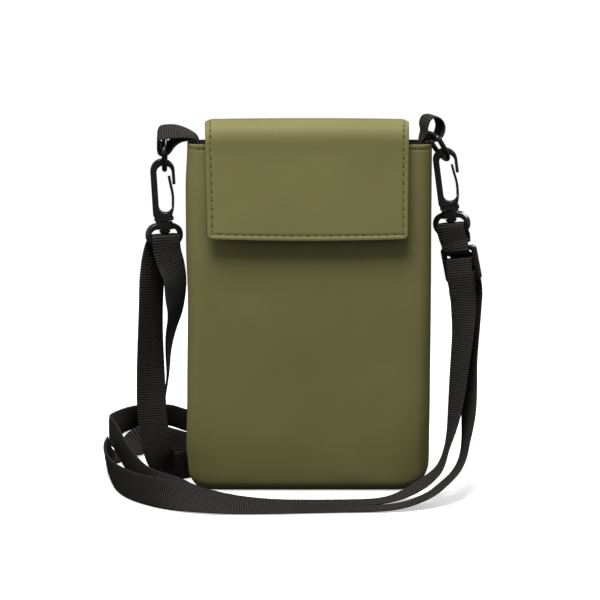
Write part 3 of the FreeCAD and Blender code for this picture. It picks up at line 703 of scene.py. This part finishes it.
def rim_relief(below, run):
    """How far the turned edge stands out at a distance below the rim, and how deep its seam lies."""
    groove = math.exp(-((below - MOUTH_SEAM_DROP) / 0.5) ** 2)
    roll = math.exp(-((below - 1.0) / 0.8) ** 2)
    pucker = 0.5 + 0.5 * math.cos(2.0 * math.pi * run / MOUTH_STITCH)
    return 0.2 * roll * (0.6 + 0.4 * pucker) - 0.17 * groove


def wave_at(height, column):
    """The side's stand-out at a height."""
    for low, high in zip(SIDE_WAVES, SIDE_WAVES[1:]):
        if height <= high[0]:
            share = ease((height - low[0]) / (high[0] - low[0]))
            return low[column] + (high[column] - low[column]) * share
    return SIDE_WAVES[-1][column]


def softened(place):
    """Move a point of the plain box to where the soft pouch has it."""
    x, y, z = place
    side = math.copysign(1.0, x)
    reach = abs(x) / (BODY_WIDTH / 2)
    column = 1 if side < 0 else 2
    out = wave_at(z, column) * ease((reach - 0.5) / 0.5)
    round_size = LOWER_CORNER[side]
    inside = abs(x) - (BODY_WIDTH / 2 - round_size)
    if inside > 0.0 and z < round_size:
        lift = round_size - math.sqrt(max(round_size ** 2 - min(inside, round_size) ** 2, 0.0))
        z += lift * (1.0 - z / round_size) * 0.8
    lean = LEAN * ease((LEAN_TOP - z) / LEAN_TOP)
    roll = BASE_ROLL * max(1.0 - z / ROLL_HEIGHT, 0.0) ** 2
    side_roll = SIDE_ROLL * ease((reach - 0.82) / 0.18)
    side_roll += CORNER_ROLL * ease((reach - 0.66) / 0.34) * ease(1.0 - z / CORNER_HEIGHT)
    spot = Vector((x, y * 0.2, z))
    ripple = 0.35 * noise.noise(spot / 34.0) + 0.12 * noise.noise(spot / 11.0)
    fullness = min(abs(y) / (BODY_DEPTH / 2 - COVER - LINING), 1.0)
    rim = rim_relief(BODY_HEIGHT - z, x) * ease(fullness * 4.0 - 2.6)
    y += math.copysign(1.0, y) * ((ripple * ease(z / 12.0) - lean - roll - side_roll) * fullness + rim)
    return Vector((x + side * out, y, z))


def sewn_shell(inset, foot, top, back):
    """Half of the rounded box, front or back, as an open grid."""
    bm = bmesh.new()
    bmesh.ops.create_cube(bm, size=1.0)
    size = (BODY_WIDTH - 2 * inset, BODY_DEPTH - 2 * inset, BODY_HEIGHT - inset)
    bmesh.ops.scale(bm, vec=size, verts=bm.verts)
    bmesh.ops.translate(bm, vec=(0.0, 0.0, (BODY_HEIGHT + inset) / 2), verts=bm.verts)
    upright = [e for e in bm.edges if abs(e.verts[0].co.z - e.verts[1].co.z) > 1.0]
    bmesh.ops.bevel(bm, geom=upright, offset=SIDE_ROUND - inset, segments=8, profile=0.5, affect="EDGES", material=-1)
    low = [e for e in bm.edges if max(v.co.z for v in e.verts) < inset + 0.1]
    bmesh.ops.bevel(bm, geom=low, offset=BASE_ROUND - inset, segments=6, profile=0.5, affect="EDGES", material=-1)
    lid = [f for f in bm.faces if min(v.co.z for v in f.verts) > BODY_HEIGHT - 0.1]
    bmesh.ops.delete(bm, geom=lid, context="FACES")
    for cut in range(1, int(BODY_HEIGHT / GRID) + 1):
        slice_at(bm, (0.0, 0.0, cut * GRID), (0.0, 0.0, 1.0))
    for cut in RIM_CUTS:
        slice_at(bm, (0.0, 0.0, BODY_HEIGHT - cut), (0.0, 0.0, 1.0))
    across_step = MOUTH_STITCH / 2
    for cut in range(-int(BODY_WIDTH / 2 / across_step), int(BODY_WIDTH / 2 / across_step) + 1):
        slice_at(bm, (cut * across_step, 0.0, 0.0), (1.0, 0.0, 0.0))
    facing = 1.0 if back else -1.0
    trim_at(bm, (0.0, 0.0, 0.0), (0.0, -facing, 0.0))
    if foot > inset:
        trim_at(bm, (0.0, 0.0, foot), (0.0, 0.0, -1.0))
    if top < BODY_HEIGHT:
        trim_at(bm, (0.0, 0.0, top), (0.0, 0.0, 1.0))
    for vertex in bm.verts:
        vertex.co = softened(vertex.co)
    bmesh.ops.recalc_face_normals(bm, faces=bm.faces)
    middle = sum((f.normal.y * f.calc_area() for f in bm.faces))
    if middle * facing < 0.0:
        bmesh.ops.reverse_faces(bm, faces=bm.faces)
    return bm


def slice_at(bm, point, direction):
    """Cut all faces along a plane and keep both sides."""
    geometry = list(bm.verts) + list(bm.edges) + list(bm.faces)
    bmesh.ops.bisect_plane(bm, geom=geometry, dist=0.001, plane_co=point, plane_no=direction)


def trim_at(bm, point, direction):
    """Cut along a plane and drop the side that the direction points to."""
    geometry = list(bm.verts) + list(bm.edges) + list(bm.faces)
    bmesh.ops.bisect_plane(bm, geom=geometry, dist=0.001, plane_co=point, plane_no=direction, clear_outer=True)


# %% Covers, linings and facings
POUCH_LAYERS = (
    ("front_cover", 0.0, 0.0, BODY_HEIGHT, False, COVER, "front_panel", olive_cloth, "coated_olive"),
    ("back_cover", 0.0, 0.0, BODY_HEIGHT, True, COVER, "back_panel", olive_cloth, "coated_olive"),
    ("front_pocket_lining", COVER, COVER, BODY_HEIGHT - FACING, False, LINING, "front_lining", dark_lining, "black_lining"),
    ("back_pocket_lining", COVER, COVER, BODY_HEIGHT - FACING, True, LINING, "back_lining", dark_lining, "black_lining"),
    ("front_mouth_facing", COVER, BODY_HEIGHT - FACING, BODY_HEIGHT, False, LINING, "front_facing", dark_lining, "black_lining"),
    ("back_mouth_facing", COVER, BODY_HEIGHT - FACING, BODY_HEIGHT, True, LINING, "back_facing", dark_lining, "black_lining"),
)
pouch = {}
for name, inset, foot, top, back, thickness, node, finish, slot in POUCH_LAYERS:
    piece = finished(name, sewn_shell(inset, foot, top, back))
    layered(piece, thickness * 0.96, -1.0)
    dress(piece, finish)
    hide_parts(node)
    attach(piece, "pouch")
    pouch[name] = piece
print("pouch layers", len(pouch))

# %% [markdown]
# ## The flap
# The flap is one sheet, sewn flat on the back, bent over the mouth and hanging in front. It is cut
# flat here, with its rounded corners, and then laid along that path. It is made in two pieces that
# meet on top of the bend, because it bends at two hinges.

# %% The flat cut and the way it lies
FLAP_WIDTH = 97.5
FLAP_SHIFT = -0.7
FLAP_TOP = 183.0
FLAP_BOTTOM = 126.4
FLAP_FRONT = 13.6
FLAP_BACK = 12.0
FLAP_SKIN = 1.0
FLAP_LINING = 0.5
FLAP_CORNER = 3.0
STRIP_BOTTOM = 154.0
BEND_RADIUS = (FLAP_FRONT + FLAP_BACK) / 2
BEND_HEIGHT = FLAP_TOP - BEND_RADIUS
BEND_MIDDLE = (FLAP_BACK - FLAP_FRONT) / 2
STRIP_LENGTH = BEND_HEIGHT - STRIP_BOTTOM
BEND_LENGTH = math.pi * BEND_RADIUS
LEAF_LENGTH = BEND_HEIGHT - FLAP_BOTTOM
FLAP_LENGTH = STRIP_LENGTH + BEND_LENGTH + LEAF_LENGTH
FLAP_CREST = STRIP_LENGTH + BEND_LENGTH / 2


FLAP_SEAM_INSET = 2.4
FLAP_STITCH = 3.85
FLAP_LEAN = 2.8
BEND_SQUARE = 0.62
EDGE_CUTS = (0.4, 1.0, 1.6, 2.0, 2.4, 2.8, 3.3, 4.2)
FLARE = {-1.0: 1.3, 1.0: 0.45}


def edge_relief(across, along):
    """The sewn edge: a seam that lies deep and a puckered roll outside it."""
    aside = FLAP_WIDTH / 2 - abs(across)
    end = FLAP_LENGTH - along
    inward = min(aside, end)
    run = across if end < aside else along
    groove = math.exp(-((inward - FLAP_SEAM_INSET) / 0.5) ** 2)
    roll = math.exp(-((inward - 1.1) / 0.8) ** 2)
    pucker = 0.5 + 0.5 * math.cos(2.0 * math.pi * run / FLAP_STITCH)
    uneven = 0.5 + 0.5 * noise.noise(Vector((run / 2.1, math.copysign(5.0, across), 3.0)))
    return 0.3 * roll * (0.25 + 0.35 * pucker + 0.5 * uneven) - 0.26 * groove


def laid(across, along, depth):
    """Where a point of the flat flap lies: across, along from the back end, and below its face."""
    share = 2.0 * abs(across) / FLAP_WIDTH
    depth -= edge_relief(across, along)
    side = math.copysign(1.0, across)
    hung = max(along - STRIP_LENGTH - BEND_LENGTH / 2, 0.0) / (FLAP_LENGTH - FLAP_CREST)
    x = FLAP_SHIFT + across + side * FLARE[side] * (1.0 - ease(hung)) * (2.0 * across / FLAP_WIDTH) ** 2
    if along < STRIP_LENGTH:
        return Vector((x, FLAP_BACK - depth, STRIP_BOTTOM + along))
    if along < STRIP_LENGTH + BEND_LENGTH:
        angle = (along - STRIP_LENGTH) / BEND_RADIUS
        crown = 0.45 * (1.0 - share ** 2) - 1.3 * ease((share - 0.94) / 0.06)
        radius = BEND_RADIUS - depth + crown * math.sin(angle)
        back = math.copysign(abs(math.cos(angle)) ** BEND_SQUARE, math.cos(angle))
        rise = math.sin(angle) ** BEND_SQUARE
        return Vector((x, BEND_MIDDLE + radius * back, BEND_HEIGHT + radius * rise))
    hang = along - STRIP_LENGTH - BEND_LENGTH
    bow = 0.9 * (1.0 - share ** 2)
    lean = FLAP_LEAN * (hang / LEAF_LENGTH) ** 1.25
    ripple = 0.25 * noise.noise(Vector((across, hang, 7.0)) / 30.0) * ease(hang / 10.0)
    hang += bow * (hang / LEAF_LENGTH) ** 2
    return Vector((x, depth - FLAP_FRONT - ripple - lean, BEND_HEIGHT - hang))


def flap_sheet(first, last, depth, rounded):
    """A stretch of the flap as an open grid, its outer face on the outside."""
    bm = bmesh.new()
    bmesh.ops.create_grid(bm, x_segments=1, y_segments=1, size=0.5)
    bmesh.ops.scale(bm, vec=(FLAP_WIDTH, last - first, 1.0), verts=bm.verts)
    bmesh.ops.translate(bm, vec=(0.0, (first + last) / 2, 0.0), verts=bm.verts)
    if rounded:
        corners = [v for v in bm.verts if v.co.y > last - 0.1]
        bmesh.ops.bevel(bm, geom=corners, offset=FLAP_CORNER, segments=6, profile=0.5, affect="VERTICES", material=-1)
    for cut in range(1, int((last - first) / 1.0)):
        slice_at(bm, (0.0, first + cut * 1.0, 0.0), (0.0, 1.0, 0.0))
    for cut in range(-46, 47):
        slice_at(bm, (cut * 1.0, 0.0, 0.0), (1.0, 0.0, 0.0))
    for inward in EDGE_CUTS:
        slice_at(bm, (FLAP_WIDTH / 2 - inward, 0.0, 0.0), (1.0, 0.0, 0.0))
        slice_at(bm, (inward - FLAP_WIDTH / 2, 0.0, 0.0), (1.0, 0.0, 0.0))
        if rounded:
            slice_at(bm, (0.0, last - inward, 0.0), (0.0, 1.0, 0.0))
    for vertex in bm.verts:
        vertex.co = laid(vertex.co.x, vertex.co.y, depth)
    bmesh.ops.recalc_face_normals(bm, faces=bm.faces)
    if sum((f.normal.z + f.normal.y * (1.0 if first == 0.0 else -1.0)) * f.calc_area() for f in bm.faces) < 0.0:
        bmesh.ops.reverse_faces(bm, faces=bm.faces)
    return bm


# %% The two stretches of the flap and their lining
FLAP_LAYERS = (
    ("flap_back_skin", 0.0, FLAP_CREST, 0.0, FLAP_SKIN, ("flap_seam_strip", "flap_crown"), olive_cloth, "coated_olive"),
    ("flap_front_skin", FLAP_CREST, FLAP_LENGTH, 0.0, FLAP_SKIN, ("flap_leaf",), olive_cloth, "coated_olive"),
    ("flap_back_lining", STRIP_LENGTH, FLAP_CREST, FLAP_SKIN, FLAP_LINING, ("flap_crown_lining",), dark_lining, "black_lining"),
    ("flap_front_lining", FLAP_CREST, FLAP_LENGTH, FLAP_SKIN, FLAP_LINING, ("flap_leaf_lining",), dark_lining, "black_lining"),
)


def bend_with_flap(piece, front):
    """Bake a piece of the flap into the world where it lies."""
    if front:
        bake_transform(piece)
    else:
        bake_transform(piece)


for name, first, last, depth, thickness, nodes, finish, slot in FLAP_LAYERS:
    piece = finished(name, flap_sheet(first, last, depth, last == FLAP_LENGTH))
    layered(piece, thickness * 0.96, -1.0)
    dress(piece, finish)
    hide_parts(*nodes)
    bend_with_flap(piece, first > 0.0 and last == FLAP_LENGTH)
print("flap", round(FLAP_LENGTH, 1), "mm long when flat")

# %% [markdown]
# ## Stitches
# A row of stitches runs inside the flap's edge and another under the mouth's edge. A stitch is a
# small flattened bead of thread, and at each end a small dark bead is painted shade in the needle hole.


# %% Rows of stitches
def bead(bm, place, along, out, length, width, height):
    """One stitch: a low ball drawn out along the seam."""
    side = along.cross(out).normalized()
    turn = Matrix((along.normalized(), side, out.normalized())).transposed().to_4x4()
    size = Matrix.Diagonal((length / 2, width / 2, height / 2, 1.0))
    bmesh.ops.create_icosphere(bm, subdivisions=1, radius=1.0, matrix=Matrix.Translation(place) @ turn @ size)


def seam(name, places, outs, length, width, height, finish):
    """A row of stitches, one at each place, along the line that they make."""
    bm = bmesh.new()
    for index, (place, out) in enumerate(zip(places, outs)):
        before = places[max(index - 1, 0)]
        after = places[min(index + 1, len(places) - 1)]
        bead(bm, place, after - before, out, length, width, height)
    piece = finished(name, bm)
    return dress(piece, finish)


flap_reach = FLAP_WIDTH / 2 - FLAP_SEAM_INSET
flap_end = FLAP_LENGTH - FLAP_SEAM_INSET


def flap_row(first, last):
    """Flat places along the flap's seam between two lengths: down the left, across and up the right."""
    rows = []
    count = int((last - first) / FLAP_STITCH)
    side = [first + (last - first) * (index + 0.5) / count for index in range(count)]
    rows += [(-flap_reach, along) for along in side]
    if last == flap_end:
        across = int(2 * flap_reach / FLAP_STITCH)
        rows += [(-flap_reach + 2 * flap_reach * (index + 0.5) / across, last) for index in range(across)]
    rows += [(flap_reach, along) for along in reversed(side)]
    return rows


def flap_seam(name, first, last, shift, lift, length, width, height, finish):
    """Stitches laid on the flap's outside."""
    bm = bmesh.new()
    for across, along in flap_row(first, last):
        level = along == last and last == flap_end
        step = (0.5, 0.0) if level else (0.0, 0.5)
        moved = (across + 2 * shift * step[0], along + 2 * shift * step[1])
        place = laid(*moved, -lift)
        run = laid(moved[0] + step[0], moved[1] + step[1], 0.0) - laid(moved[0] - step[0], moved[1] - step[1], 0.0)
        out = laid(*moved, -0.5) - laid(*moved, 0.0)
        bead(bm, place, run, out, length, width, height)
    piece = finished(name, bm)
    dress(piece, finish)
    bend_with_flap(piece, first > 0.0)
    return piece


for part, first, last in (("back", 0.0, FLAP_CREST), ("front", FLAP_CREST, flap_end)):
    flap_seam("flap_" + part + "_stitches", first, last, 0.0, 0.0, 2.8, 0.55, 0.4, olive_thread)
    # The second row is dark beads of painted shade in the needle holes between the stitches.
    flap_seam("flap_" + part + "_hole_shade", first, last, FLAP_STITCH / 2, 0.06, 1.4, 0.85, 0.36, needle_hole_shade)

# %% The mouth's top-stitch
MOUTH_ROWS = (
    ("mouth_stitches", 0.0, 1.5, 0.5, 0.4, olive_thread),
    # Dark beads of painted shade in the needle holes.
    ("mouth_hole_shade", 0.5, 0.95, 0.6, 0.3, needle_hole_shade),
)
for side, facing in (("front_", -1.0), ("back_", 1.0)):
    for name, shift, length, width, height, finish in MOUTH_ROWS:
        count = 2 * int((BODY_WIDTH / 2 - SIDE_ROUND / 2) / MOUTH_STITCH)
        places = []
        for index in range(count):
            x = MOUTH_STITCH * (index - count // 2 + shift + 0.5)
            corner = max(abs(x) - BODY_WIDTH / 2 + SIDE_ROUND, 0.0)
            y = BODY_DEPTH / 2 - SIDE_ROUND + math.sqrt(SIDE_ROUND ** 2 - corner ** 2)
            places.append(softened(Vector((x, facing * y, BODY_HEIGHT - MOUTH_SEAM_DROP))))
        row = seam(side + name, places, [Vector((0.0, facing, 0.0))] * count, length, width, height, finish)
        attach(row, "pouch")

# %% The bar-tack under the slider
TACK_ROWS = 5
TACK_PITCH = 1.1
TACK_STITCHES = 13
tack_frame = line_of["strap_slider_fold"][-1]
places = []
for row in range(TACK_ROWS):
    for index in range(TACK_STITCHES):
        across = (index - (TACK_STITCHES - 1) / 2) * (WEB_WIDTH + 0.6) / TACK_STITCHES
        along = (row - 0.5) * TACK_PITCH + (0.25 if index % 2 else -0.25)
        places.append(tack_frame @ Vector((across, -WEB_THICKNESS / 2, along)))
out = (tack_frame.to_3x3() @ Vector((0.0, -1.0, 0.0))).normalized()
if out.y > 0.0:
    places = [place + out * -WEB_THICKNESS for place in places]
    out = -out
bm = bmesh.new()
for place in places:
    bead(bm, place, tack_frame.to_3x3() @ Vector((0.6, 0.0, 0.8)), out, 1.5, 0.6, 0.55)
bar_tack = dress(finished("slider_bar_tack", bm), black_thread)
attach(bar_tack, "strap_slider")

# %% [markdown]
# ## Rings, hooks, slider and magnets
# These are hard mouldings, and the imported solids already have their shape. They only need a finish.

# %% The magnet on the flap follows the leaning leaf
MAGNET_RADIUS = 7.0
MAGNET_THICKNESS = 1.0
MAGNET_RISE = 10.6
magnet_along = FLAP_LENGTH - MAGNET_RISE
magnet_depth = FLAP_SKIN + FLAP_LINING + MAGNET_THICKNESS / 2
bm = bmesh.new()
bmesh.ops.create_cone(
    bm, cap_ends=True, segments=48, radius1=MAGNET_RADIUS, radius2=MAGNET_RADIUS, depth=MAGNET_THICKNESS)
rims = [edge for edge in bm.edges if abs(edge.verts[0].co.z - edge.verts[1].co.z) < MAGNET_THICKNESS / 2]
bmesh.ops.bevel(bm, geom=rims, offset=0.2, segments=2, profile=0.5, affect="EDGES", material=-1)
inward = laid(0.0, magnet_along, 1.0) - laid(0.0, magnet_along, 0.0)
turn = inward.to_track_quat("Z", "Y").to_matrix().to_4x4()
bmesh.ops.transform(bm, matrix=Matrix.Translation(laid(0.0, magnet_along, magnet_depth)) @ turn, verts=bm.verts)
magnet = dress(finished("flap_disc", bm), plain_steel)
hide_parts("flap_magnet")
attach(magnet, "flap")

# %% Finish the hard pieces
PLASTIC = ("left_ring", "right_ring", "left_hook_body", "right_hook_body", "left_gate_leaf", "right_gate_leaf",
           "left_eye", "right_eye", "slider_frame")
for node in PLASTIC:
    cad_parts[node].data.materials.clear()
    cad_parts[node].data.materials.append(satin_plastic)
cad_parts["pouch_magnet"].data.materials.clear()
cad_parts["pouch_magnet"].data.materials.append(plain_steel)
print("hard pieces", len(PLASTIC))

# %% [markdown]
# ## Floor and light
# The photograph has a white ground with a faint soft shadow. The floor reflects little towards the
# pouch, but the camera sees it nearly white. A large lamp stands above on the left, close enough for
# the light to fade towards the base, and the world fills the shadows.


# %% Floor, lamps and world
def ground():
    """A pale floor that keeps a faint shadow and looks white to the camera."""
    bm = bmesh.new()
    bmesh.ops.create_grid(bm, x_segments=1, y_segments=1, size=650.0)
    bmesh.ops.translate(bm, vec=(0.0, 0.0, -0.15), verts=bm.verts)
    floor = finished("floor", bm)
    paper, tree, shader = new_finish("white_paper", 0.9)
    shader.inputs["Specular IOR Level"].default_value = 0.0
    shader.inputs["Emission Color"].default_value = (1.0, 1.0, 1.0, 1.0)
    rays = add(tree, "ShaderNodeLightPath")
    shade = add(tree, "ShaderNodeMix", data_type="RGBA")
    shade.inputs["A"].default_value = (0.04, 0.04, 0.04, 1.0)
    shade.inputs["B"].default_value = (0.9, 0.9, 0.9, 1.0)
    tree.links.new(rays.outputs["Is Camera Ray"], shade.inputs["Factor"])
    tree.links.new(shade.outputs["Result"], shader.inputs["Base Color"])
    glow = math_node(tree, "MULTIPLY", rays.outputs["Is Camera Ray"], 0.52)
    tree.links.new(glow, shader.inputs["Emission Strength"])
    floor.data.materials.append(paper)


def lamp(name, place, aim, size, power):
    """A soft square lamp that looks at a point."""
    light = bpy.data.lights.new(name, "AREA")
    light.size = size
    light.energy = power
    holder = bpy.data.objects.new(name, light)
    scene.collection.objects.link(holder)
    holder.location = place
    holder.rotation_euler = (Vector(aim) - Vector(place)).to_track_quat("-Z", "Y").to_euler()


ground()
lamp("key_lamp", (-0.12, -0.38, 1.08), (0.0, 0.0, 0.12), 0.55, 15.5)
lamp("left_lamp", (-1.1, -0.5, 0.45), (0.0, 0.0, 0.1), 0.5, 1.8)
lamp("fill_lamp", (0.5, -1.6, 0.5), (0.0, 0.0, 0.08), 0.8, 1.2)
lamp("back_lamp", (0.7, 1.1, 0.8), (0.0, 0.0, 0.1), 0.6, 7.0)
world = bpy.data.worlds.new("white_room")
scene.world = world
world.use_nodes = True
sky = world.node_tree.nodes["Background"]
sky.inputs["Color"].default_value = (1.0, 1.0, 1.0, 1.0)
rays = add(world.node_tree, "ShaderNodeLightPath")
level = math_node(world.node_tree, "MULTIPLY_ADD", rays.outputs["Is Camera Ray"], 0.82)
level.node.inputs[2].default_value = 0.18
world.node_tree.links.new(level, sky.inputs["Strength"])
scene.view_settings.view_transform = "Standard"
print("lamps", len(bpy.data.lights))
